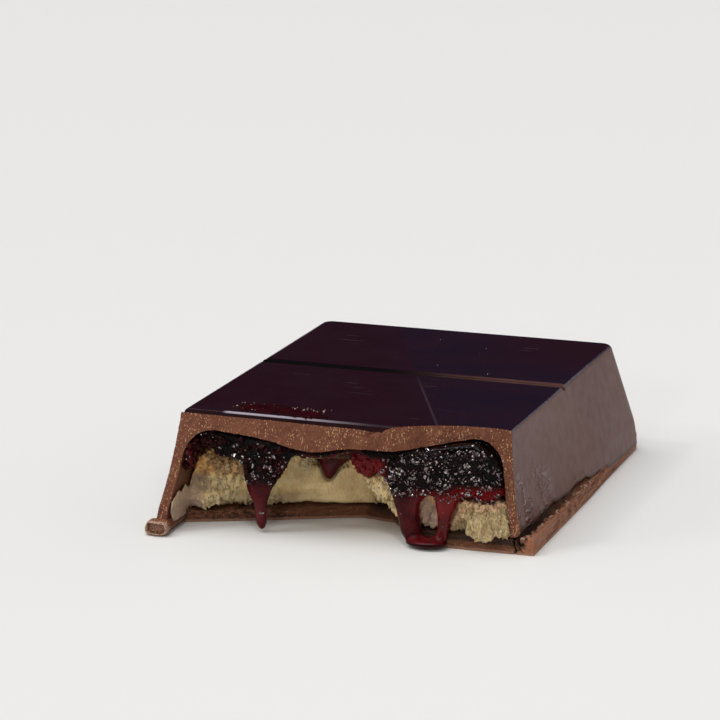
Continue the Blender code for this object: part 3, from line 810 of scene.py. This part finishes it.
def jam_filling():
    jam = copy_of("jam", "jam_filling")
    remesh(jam, 0.4)
    finish_with(jam, "SMOOTH", factor=0.5, iterations=7)
    remesh(jam, 0.26)
    finish_with(jam, "SMOOTH", factor=0.5, iterations=3)
    thin_out_back(jam)
    corners = corners_of(jam)
    x, y, z = corners.T
    front = 1 - step(-32, -24, y)
    fringe = step(13, 16, x) * step(5.5, 7.5, z) * step(12.0, 10.0, z) * front
    roughen(jam, "CLOUDS", 2.6, 1.5, weigh(jam, "fringe", fringe), direction="Z", noise_depth=2)
    mass = step(8.6, 10.6, z) * (1 - step(17.2, 19.4, z + 0.06 * (x - 20))) * front
    group = weigh(jam, "grainy", mass)
    roughen(jam, "VORONOI", 0.9, 0.35, group, distance_metric="DISTANCE")
    roughen(jam, "CLOUDS", 0.5, 0.34, group, noise_depth=1)
    beads = step(-22.0, -26.0, x) * front * step(10.5, 12, z)
    roughen(jam, "VORONOI", 1.5, -0.8, weigh(jam, "beads", beads))
    paint(jam, "grainy", mass)
    ridge_drip = step(0.5, 1.8, x) * step(9.5, 7.0, x) * step(17.0, 15.5, z) * front
    low = step(11.2, 8.6, z) * step(0.8, 3.6, z) * front
    thin = thinness(jam, front > 0, 0.9, 3.4) * step(18.5, 16.0, z)
    short_drip = step(-12, -10, x) * step(0, -2, x) * step(14.0, 12.0, z) * (y < -15)
    thin = 0.7 * thin + 0.45 * low + 0.9 * ridge_drip + 0.4 * fringe + 0.7 * short_drip
    paint(jam, "thin", np.clip(thin, 0, 1))
    lower_right = step(20, 24, x) * step(13.0, 11.4, z) * front
    paint(jam, "bright", np.clip(ridge_drip + 0.6 * fringe + 0.9 * lower_right, 0, 1))
    jam.data.materials.append(WET_JAM)
    shade_smooth(jam)
    settle(jam, "jam", "jam")
    return jam


def thinness(piece, shown, thin, thick):
    """1 where the piece is thin under the corner, 0 where it is thick or doesn't show."""
    tree, corners, normals = tree_of(piece), corners_of(piece), normals_of(piece)
    depths = np.full(len(corners), thick)
    for i in np.flatnonzero(shown):
        inwards = Vector(-normals[i])
        hit = tree.ray_cast(Vector(corners[i]) + inwards * 0.1, inwards, thick)[3]
        if hit is not None:
            depths[i] = hit
    return 1 - step(thin, thick, depths)


def crumb_filling(jam):
    cream = copy_of("cream", "crumb_filling")
    remesh(cream, 0.45)
    finish_with(cream, "SMOOTH", factor=0.5, iterations=5)
    remesh(cream, 0.25)
    thin_out_back(cream)
    corners = corners_of(cream)
    x, y, z = corners.T
    smear = step(-26.0, -28.0, x) * step(-30.0, -32.0, y) * step(12, 9, z)
    wall = -(half_width(y, z) - WALL - 0.35)
    corners[:, 0] = np.where(smear > 0, x + (wall + (x - wall) * 0.15 - x) * smear, x)
    move_corners(cream, corners)
    corners = corners_of(cream)
    x, y, z = corners.T
    front = 1 - step(-27, -21, y)
    cut_smooth = step(-17, -12, x) * (1 - step(-1, 4, x)) * (1 - step(9.5, 11.5, z))
    torn = front * (1 - cut_smooth) * (1 - 0.8 * step(-29.5, -31.0, x) * step(12, 9, z))
    group = weigh(cream, "torn", torn)
    smoother = weigh(cream, "cut", front)
    film = weigh(cream, "film", smear)
    roughen(cream, "CLOUDS", 2.6, 3.0, film, direction="Z", noise_depth=2)
    roughen(cream, "CLOUDS", 1.8, 1.8, film, direction="Y", noise_depth=2)
    roughen(cream, "CLOUDS", 2.4, 1.6, group, stretch=(1, 1, 1.5), noise_depth=2)
    roughen(cream, "CLOUDS", 0.8, 1.4, group, stretch=(1, 1, 3.2), noise_depth=1)
    roughen(cream, "VORONOI", 0.7, -0.35, group, stretch=(1, 1, 2.6))
    roughen(cream, "CLOUDS", 0.4, 0.35, group, noise_depth=0)
    roughen(cream, "CLOUDS", 0.7, 0.12, smoother, stretch=(1, 1, 3), noise_depth=2)
    corners = corners_of(cream)
    x, y, z = corners.T
    tree = tree_of(jam)
    near = np.zeros(len(corners))
    for i in np.flatnonzero(front > 0):
        near[i] = tree.find_nearest(corners[i])[3] or 9.0
    reach = np.where(x > 18, 2.4, 1.3)
    paint(cream, "near_jam", np.where(front > 0, 1 - step(0.35, 1, near / reach), 0) * step(-4, 4, x))
    top_left = step(-14, -18, x) * step(8.2, 10.2, z)
    arch = step(-10, -8, x) * step(2, 0, x) * step(9.6, 10.8, z)
    right = step(16, 17.5, x) * step(24, 22.5, x) * step(7.4, 8.6, z)
    paint(cream, "baked", np.clip(top_left + arch + right, 0, 1) * front)
    # painted shade: how deep each place lies in a hollow
    paint(cream, "hollow", hollows(cream, 6) * front)
    # painted shade under the overhang of the cream; the film and the window take the same grey
    under = step(5.4, 4.4, z) * step(-6, -12, x)
    smear = step(-28.0, -29.5, x) * step(11, 9.5, z)
    window = step(13.0, 14, x) * step(21, 20, x) * step(9.5, 8.5, z)
    paint(cream, "grey", np.clip(0.4 * under + smear + 1.2 * window, 0, 1.15) * front)
    cream.data.materials.append(pale_crumb())
    shade_smooth(cream)
    settle(cream, "crumb_filling", "cream")
    return cream


def rough_crumbs(count, roundness, thickness):
    """A few rough crumbs, a millimetre across and of this share of it thick, for copying."""
    made = []
    for seed in range(count):
        bpy.ops.mesh.primitive_ico_sphere_add(subdivisions=roundness, radius=0.5 * MM)
        crumb = bpy.context.object
        bpy.ops.object.mode_set(mode="EDIT")
        bpy.ops.transform.vertex_random(offset=0.15 * MM, uniform=1.0, seed=seed)
        bpy.ops.transform.resize(value=(1, 1, thickness))
        bpy.ops.object.mode_set(mode="OBJECT")
        if roundness > 1:
            finish_with(crumb, "DECIMATE", ratio=0.6)
        made.append(crumb)
    return made


def strew(name, crumbs, spots, material, slot, smooth=True, tall=1.0):
    """Copies crumbs, turned any way and then made taller, to spots of (place, sizes), and joins them."""
    copies = []
    for i, (place, size) in enumerate(spots):
        copy = crumbs[i % len(crumbs)].copy()
        copy.data = copy.data.copy()
        turn = Euler([CHANCE.uniform(0, 2 * math.pi) for _ in range(3)]).to_matrix().to_4x4()
        grow = Matrix.Diagonal((*size, 1))
        upright = Matrix.Diagonal((1, 1, tall, 1))
        copy.data.transform(Matrix.Translation(Vector(place) * MM) @ upright @ turn @ grow)
        copy.matrix_world = Matrix.Identity(4)
        bpy.context.scene.collection.objects.link(copy)
        copies.append(copy)
    only(*copies)
    bpy.ops.object.join()
    piece = bpy.context.object
    piece.name = name
    piece.data.materials.clear()
    piece.data.materials.append(material)
    if smooth:
        shade_smooth(piece)
    settle(piece, slot)
    return piece


def spots_seen(trees, wanted, count, low, high, size, accept=None, way=(0, 1, 0)):
    """Random places on one piece that can be seen along a way, with the crumb's sizes."""
    spots = []
    way = Vector(way)
    for _ in range(count * 30):
        start = Vector([CHANCE.uniform(a, b) for a, b in zip(low, high)]) - way * 60
        hits = {name: tree.ray_cast(start, way) for name, tree in trees.items()}
        near = min(hits, key=lambda name: hits[name][3] if hits[name][3] is not None else 1e9)
        place = hits[near][0]
        if near != wanted or place is None or (accept and not accept(place)):
            continue
        one = CHANCE.uniform(*size)
        spots.append((tuple(place), [one * CHANCE.uniform(0.7, 1.3) for _ in range(3)]))
        if len(spots) == count:
            break
    return spots


def wet_grain():
    material, mix = new_material("wet grains")
    tint = mix.grain(Size=0.8, Low=0.35, High=0.65, Detail=1.0)
    # painted glints: pale specks on the grains stand in for highlights on wet seeds
    seed = mix.grain(Size=0.40, Low=0.64, High=0.68, Detail=0.0)
    colour = mix.blend(tint, (0.006, 0.002, 0.002), (0.050, 0.005, 0.007))
    mix.surface(
        Base_Color=mix.blend(seed, colour, (0.55, 0.48, 0.44)),
        Roughness=mix.ramp(tint, 0, 1, 0.05, 0.30),
        IOR=1.75,
        Specular_IOR_Level=0.8,
    )
    return material


def dry_crumb(name, dark, light, moist=0.0):
    """Loose crumbs, each of its own shade between dark and light, and more or less moist on the right."""
    material, mix = new_material(name)
    tint = mix.grain(Size=0.9, Low=0.38, High=0.62, Detail=2.0)
    fine = mix.grain(Size=0.2, Low=0.3, High=0.7, Detail=2.0)
    wet = mix.ramp(mix.group(PLACE)["X"], 12, 20, 0.0, moist)
    mix.surface(
        Base_Color=mix.blend(wet, mix.blend(tint, dark, light), MOIST_CRUMB),
        Roughness=mix.ramp(fine, 0, 1, 0.5, 0.7),
        Normal=mix.bump(fine, 0.08),
    )
    return material


def smear_on_top():
    """A thin film of jam wiped along the front edge of the top."""

    def middle_y(along):
        return SMEAR_START[1] - SMEAR_SLANT * along + 0.4 * np.sin(5 * along)

    def waver(places, wave_x, wave_y, seed):
        return np.array([noise.noise(Vector((p[0] * wave_x, p[1] * wave_y, seed))) for p in places])

    bpy.ops.mesh.primitive_grid_add(x_subdivisions=96, y_subdivisions=20, size=1 * MM)
    smear = bpy.context.object
    smear.name = "jam_smear"
    along, across, level = corners_of(smear).T
    along = along + 0.5
    x, y = SMEAR_START[0] + SMEAR_LENGTH * along, middle_y(along) + 2 * SMEAR_HALF_WIDTH * across
    move_corners(smear, np.stack([x, y, level + TOP_Z + 0.02], axis=1))
    middles, _ = face_places(smear)
    along = (middles[:, 0] - SMEAR_START[0]) / SMEAR_LENGTH
    off_middle = np.abs(middles[:, 1] - middle_y(along)) / SMEAR_HALF_WIDTH
    ragged = waver(middles, 0.55, 1.4, 3.0) + 0.5 * waver(middles, 1.7, 2.2, 8.0)
    reach = 0.62 * step(-0.02, 0.12, along) * step(1.02, 0.8, along) + 0.08
    pick(smear, faces=off_middle + 0.9 * ragged > reach)
    bpy.ops.mesh.delete(type="FACE")
    bpy.ops.object.mode_set(mode="OBJECT")
    finish_with(smear, "SMOOTH", factor=0.5, iterations=6)
    finish_with(smear, "SOLIDIFY", thickness=0.14 * MM, offset=1.0)
    finish_with(smear, "SUBSURF", levels=1, render_levels=1)
    z = corners_of(smear)[:, 2]
    upper = weigh(smear, "upper", step(TOP_Z + 0.05, TOP_Z + 0.2, z))
    roughen(smear, "CLOUDS", 0.7, 0.16, upper, direction="Z")
    paint(smear, "thin", np.full(len(z), 0.25))
    smear.data.materials.append(WET_JAM)
    shade_smooth(smear)
    settle(smear, "jam")


def lip_end():
    """The rolled end of the lip at the left foot, hollow like a pinched tube, with a painted highlight
    around the hollow.
    """

    def off_middle(places, width, height):
        """1 on a boxy ring of this half width and height around the lip's middle."""
        across, up = (places[:, 0] - LIP_MIDDLE[0]) / width, (places[:, 2] - LIP_MIDDLE[2]) / height
        return (across**4 + up**4) ** 0.25

    bpy.ops.mesh.primitive_uv_sphere_add(segments=28, ring_count=16, radius=1 * MM)
    lip = bpy.context.object
    lip.name = "lip_end"
    corners = corners_of(lip)
    boxy = np.sign(corners) * np.abs(corners) ** 0.6
    corners = boxy * LIP_SIZE + LIP_MIDDLE
    corners[:, 0] += 0.10 * (corners[:, 2] - 1.7)
    move_corners(lip, corners)
    middles, normals = face_places(lip)
    pick(lip, faces=(normals[:, 1] < 0) & (off_middle(middles, 1.85, 1.05) < 1))
    bpy.ops.mesh.inset(thickness=0.12 * MM, depth=0, use_even_offset=False)
    bpy.ops.transform.translate(value=(0, 1.0 * MM, 0))
    bpy.ops.object.mode_set(mode="OBJECT")
    finish_with(lip, "SUBSURF", levels=2, render_levels=2)
    ring = off_middle(corners_of(lip), 2.0, 1.2)
    facing = -normals_of(lip)[:, 1]
    # painted highlight: a pale rim around the hollow and paler faces inside it that face the front
    rim = step(0.80, 0.90, ring) * step(1.25, 1.1, ring) * step(-0.1, 0.2, facing)
    paint(lip, "pale", np.clip(rim + 0.35 * step(0.8, 0.6, ring) * (facing > 0.3), 0, 1))
    roughen(lip, "CLOUDS", 1.4, 0.30, noise_depth=1)
    roughen(lip, "CLOUDS", 0.5, 0.14, noise_depth=1)
    lip.data.materials.append(BROKEN)
    shade_smooth(lip)
    settle(lip, "shell_chocolate")


def loose_pieces(shell, base, jam, cream):
    """Crumbs and grains, each kind one piece, each crumb on what carries it."""
    trees = {piece.name: tree_of(piece) for piece in (shell, base, jam, cream)}
    fine, splinters = rough_crumbs(4, 1, 1), rough_crumbs(6, 1, 0.4)
    coarse, flakes = rough_crumbs(4, 2, 0.9), rough_crumbs(4, 2, 0.45)

    def clustered(place):
        return noise.noise(Vector((place[0] * 0.55, 0, place[2] * 0.8))) > CHANCE.uniform(-0.5, 0.35)

    def torn(place):
        cut = -16 < place[0] < 4 and place[2] < 10
        window = 13 < place[0] < 21 and place[2] < 9.5
        return not cut and not window

    def on_front(piece, *rows):
        """Spots for rows of (count, x from, x to, z from, z to, sizes, what accepts a place)."""
        spots = []
        for count, left, right, low, high, size, *accept in rows:
            spots += spots_seen(trees, piece.name, count, (left, 0, low), (right, 0, high), size, *accept)
        return spots

    def from_above(piece, count, low, high, size):
        return spots_seen(trees, piece.name, count, low, high, size, way=(0, 0, -1))

    grains = on_front(
        jam,
        (420, 8, 31, 9.2, 17.0, (0.15, 0.5), clustered),
        (120, 10, 31, 16.0, 19.4, (0.2, 0.6), clustered),
        (130, 8, 31, 9.2, 16.8, (0.5, 1.0), clustered),
        (110, -24, -8, 10.0, 18.4, (0.2, 0.7), clustered),
        (16, -22, -12, 10.0, 16.0, (0.8, 1.3)),
        (24, -9, 8, 12.0, 17.0, (0.2, 0.45)),
        (9, 8.5, 22, 4.0, 9.0, (0.2, 0.5)),
        (2, -15.9, -15.4, 3.8, 4.6, (0.5, 0.7)),
        (45, 12, 31, 18.4, 20.6, (0.25, 0.6)),
        (40, -32, -24, 12.0, 19.0, (0.3, 0.6)),
    )
    strew("jam_grains", fine + splinters, grains, wet_grain(), "jam", smooth=False)

    beads = on_front(
        jam,
        (45, -33, -24, 11.0, 19.5, (0.7, 1.3)),
        (40, -25, -8, 10.0, 18.6, (0.6, 1.3)),
        (16, 0, 8, 12.5, 16.5, (0.5, 1.0)),
    )
    jam_beads = strew("jam_beads", coarse, beads, WET_JAM, "jam")
    x = corners_of(jam_beads)[:, 0]
    drip = step(-1, 0, x)
    paint(jam_beads, "thin", 0.10 + 0.08 * step(-22, -25, x) * (1 + np.sin(x * 2.1)) + 0.7 * drip)
    paint(jam_beads, "bright", 0.8 * drip)

    pale = on_front(
        cream,
        (200, -27, 12, 2.5, 12.5, (0.25, 0.8), torn),
        (70, -30, -25, 3.0, 9.0, (0.3, 0.9)),
        (150, 20, 33, 2.5, 10.5, (0.25, 0.8)),
        (140, 1, 9.5, 2.5, 13, (0.3, 0.8)),
        (1, -18.0, -16.8, 4.0, 5.0, (1.5, 1.7)),
    )
    crumb = dry_crumb("pale crumbs", (0.46, 0.32, 0.15), (0.86, 0.70, 0.42), moist=0.6)
    strew("pale_crumbs", flakes, pale, crumb, "crumb_filling", tall=1.7)

    baked = on_front(
        cream,
        (130, -29, -17, 9.0, 15.0, (0.4, 1.1)),
        (40, -10, 1, 10.0, 13.0, (0.35, 0.8)),
        (16, 22, 29, 7.5, 9.5, (0.5, 1.0)),
    )
    crumb = dry_crumb("baked crumbs", (0.33, 0.170, 0.072), (0.56, 0.34, 0.16))
    strew("baked_crumbs", coarse, baked, crumb, "crumb_filling")

    chips = from_above(base, 90, (34.2, -34, 0), (37.3, 30, 0), (0.3, 0.9))
    chips += [
        ((36.0, -33.2, 3.2), (1.5, 1.2, 1.1)),
        ((35.4, -34.2, 2.9), (1.2, 1.0, 1.3)),
        ((36.4, -22.0, 3.3), (1.1, 1.3, 0.8)),
    ]
    crumb = dry_crumb("chocolate chips", (0.16, 0.066, 0.036), (0.50, 0.30, 0.19))
    strew("chocolate_chips", coarse, chips, crumb, "base_chocolate")

    dust = from_above(shell, 4, (-30, -34, TOP_Z), (30, 40, TOP_Z), (0.16, 0.28))
    dust += from_above(shell, 60, (-24, -33.0, TOP_Z), (-3, -28, TOP_Z), (0.2, 0.4))
    crumb = dry_crumb("top crumbs", (0.20, 0.10, 0.07), (0.62, 0.46, 0.32))
    strew("top_crumbs", fine, dust, crumb, "crumb_filling")

    for sample in fine + splinters + coarse + flakes:
        bpy.data.objects.remove(sample)


# --- stage ---


def studio():
    bpy.ops.mesh.primitive_plane_add(size=8, location=(0, 0, 0))
    floor = bpy.context.object
    floor.name = "floor"
    material, mix = new_material("pale floor")
    mix.surface(Base_Color=(0.83, 0.83, 0.82), Roughness=0.55)
    floor.data.materials.append(material)

    world = bpy.data.worlds.new("studio")
    bpy.context.scene.world = world
    world.use_nodes = True
    mix = Mix(world.node_tree)
    direction = mix.add("ShaderNodeTexCoord").outputs["Generated"]

    def facing(way, low, high):
        towards = mix.vector("DOT_PRODUCT", direction, tuple(Vector(way).normalized()))
        return mix.ramp(towards["Value"], low, high)

    colour = mix.blend(facing((-0.31, 0.90, 0.28), 0.80, 0.93), (0.50, 0.505, 0.52), (0.020, 0.013, 0.025))
    colour = mix.blend(facing((0.25, -0.95, 0.25), 0.35, 0.75), colour, (0.10, 0.10, 0.10))
    mix.fill(world.node_tree.nodes["Background"], Color=colour, Strength=1.0)

    for name, towards, angle, strength in (
        ("overhead softbox", (0.24, 0.14, -1.0), 50, SOFTBOX_STRENGTH),
        ("left lamp", (0.75, 0.45, -0.48), 6, LAMP_STRENGTH),
        ("high left lamp", (0.55, 0.35, -0.76), 6, LAMP_STRENGTH),
        ("front lamp", (-0.10, 0.80, -0.59), 6, LAMP_STRENGTH),
        ("right lamp", (-0.45, 0.70, -0.55), 6, LAMP_STRENGTH),
        ("high front lamp", (-0.15, 0.45, -0.88), 6, LAMP_STRENGTH),
        ("low front lamp", (0.05, 0.93, -0.36), 6, LAMP_STRENGTH),
    ):
        light = bpy.data.lights.new(name, "SUN")
        light.energy, light.angle, light.color = strength, math.radians(angle), (1.0, 0.985, 0.96)
        into_scene(name, light).rotation_euler = Vector(towards).to_track_quat("-Z", "Y").to_euler()

    camera = bpy.data.cameras.new("photo view")
    camera.lens, camera.sensor_width, camera.clip_start = 150, 36, 0.01
    stand = into_scene("photo view", camera)
    stand.location = CAMERA_PLACE
    stand.rotation_euler = (math.radians(90 - CAMERA_ELEVATION), 0, math.radians(CAMERA_AZIMUTH))
    bpy.context.scene.camera = stand
    bpy.context.scene.view_settings.view_transform = "Standard"


CHANCE = random.Random(11)
BROKEN, WET_JAM = broken_chocolate(), wet_jam()

studio()
SHELL, BASE, JAM = chocolate_shell(), chocolate_base(), jam_filling()
CREAM = crumb_filling(JAM)
loose_pieces(SHELL, BASE, JAM, CREAM)
smear_on_top()
lip_end()
